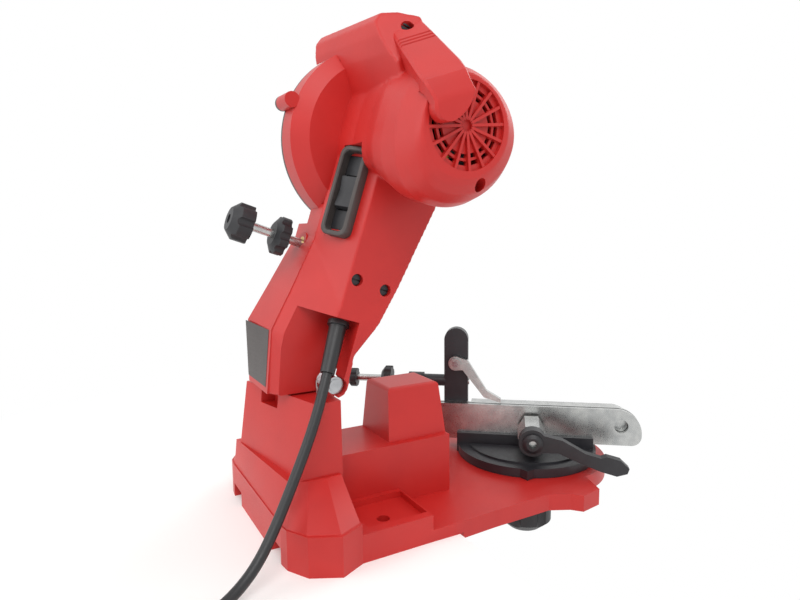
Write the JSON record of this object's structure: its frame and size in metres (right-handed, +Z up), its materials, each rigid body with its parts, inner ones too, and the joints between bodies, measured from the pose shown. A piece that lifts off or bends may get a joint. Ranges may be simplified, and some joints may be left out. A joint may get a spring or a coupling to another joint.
{
  "type": "electric saw chain sharpener",
  "caption": "Bench grinder for saw chains: a guarded wheel and motor on a tilting arm over a swivelling chain vice, bolted to a bench edge, with a mains lead.",
  "frame": {"origin": "on the bench top, below the arm's hinge axis, in the grinding wheel's middle plane", "axes": "+X along the spindle from the vented motor end to the guard's cover, +Y from the vice to the rear, +Z up from the bench"},
  "size_m": [0.3342, 0.4251, 0.3856],
  "materials": {
    "red_housing": "satin moulded red",
    "dark_cover": "satin dark grey",
    "black_plastic": "matt black",
    "black_metal": "black powder coat",
    "zinc": "zinc plated",
    "steel": "bright steel",
    "iron_core": "laminated steel",
    "brass": "turned brass",
    "grit": "vitrified abrasive",
    "cord_black": "matt black rubber"
  },
  "bodies": {
    "base": {"base_housing": "red_housing", "hinge_pin": "steel", "hinge_retainers": "steel", "return_spring": "steel", "swivel_washer": "zinc", "mains_cord": "cord_black", "cord_coil": "cord_black", "mains_plug": "cord_black"},
    "head": {"head_shell_near": "red_housing", "head_shell_far": "red_housing", "guard_cover": "dark_cover", "guard_screws": "zinc", "housing_screws": "zinc", "switch_bezel": "black_plastic", "switch_body": "black_plastic", "strain_relief": "cord_black", "motor_stator": "iron_core", "brush_holders": "brass", "bearing_front": "steel", "bearing_rear": "steel", "depth_nut_insert": "brass"},
    "spindle": {"motor_armature": "iron_core", "cooling_fan": "black_plastic", "inner_flange": "steel", "outer_flange": "steel", "spindle_nut": "zinc", "grinding_wheel": "grit"},
    "rocker": {"switch_rocker": "black_plastic"},
    "depth_stop": {"depth_screw": "zinc", "depth_knob": "black_plastic"},
    "depth_nut": {"depth_lock_nut": "black_plastic"},
    "vice": {"swivel_disc": "black_metal", "swivel_bolt": "zinc", "rail_front": "zinc", "rail_rear": "zinc", "rail_backing": "zinc", "rail_screws": "zinc", "clamp_bolt": "zinc", "clamp_post": "zinc", "stop_bracket": "black_metal", "pawl_pin": "steel", "pawl_bush": "zinc", "pawl_clip": "steel"},
    "knob": {"lock_knob": "black_plastic"},
    "lever": {"clamp_lever": "black_plastic", "lever_cap": "black_metal"},
    "pawl": {"chain_pawl": "zinc"},
    "chain_screw": {"stop_screw": "zinc", "stop_knob": "black_plastic"},
    "chain_nut": {"stop_lock_nut": "black_plastic"}
  },
  "joints": [
    {"name": "head_swing", "type": "hinge", "parent": "base", "child": "head", "pos_m": [0, 0, 0.101], "axis": [1, 0, 0], "range_deg": [0, 70], "stiffness_Nm_per_rad": 1.7, "springref_deg": -40.11},
    {"name": "wheel_spin", "type": "hinge", "parent": "head", "child": "spindle", "pos_m": [0, -0.05082, 0.25556], "axis": [1, 0, 0], "continuous": true},
    {"name": "switch_rock", "type": "hinge", "parent": "head", "child": "rocker", "pos_m": [-0.02754, -0.0194, 0.22041], "axis": [0.889, 0.435, 0.143], "range_deg": [-8, 8]},
    {"name": "depth_screw_travel", "type": "slide", "parent": "head", "child": "depth_stop", "axis": [0, 0.9397, 0.342], "range_m": [0, 0.012]},
    {"name": "depth_nut_travel", "type": "slide", "parent": "head", "child": "depth_nut", "axis": [0, 0.9397, 0.342], "range_m": [-0.0095, 0.015]},
    {"name": "vice_swivel", "type": "hinge", "parent": "base", "child": "vice", "pos_m": [0, -0.1885, 0.0125], "axis": [0, 0, 1], "range_deg": [-86, 13]},
    {"name": "lock_knob_turn", "type": "hinge", "parent": "vice", "child": "knob", "pos_m": [0, -0.1885, -0.035], "axis": [0, 0, 1], "continuous": true},
    {"name": "clamp_lever_swing", "type": "hinge", "parent": "vice", "child": "lever", "pos_m": [-0.03462, -0.16617, 0.032], "axis": [-0.7837, 0.6211, 0], "range_deg": [0, 45]},
    {"name": "chain_pawl_swing", "type": "hinge", "parent": "vice", "child": "pawl", "pos_m": [0.03743, -0.14288, 0.082], "axis": [0.7837, -0.6211, 0], "range_deg": [-60, 0]},
    {"name": "stop_screw_travel", "type": "slide", "parent": "vice", "child": "chain_screw", "axis": [0.6211, 0.7837, 0], "range_m": [-0.01, 0.012]},
    {"name": "stop_nut_travel", "type": "slide", "parent": "vice", "child": "chain_nut", "axis": [0.6211, 0.7837, 0], "range_m": [-0.0135, 0.0115]}
  ]
}
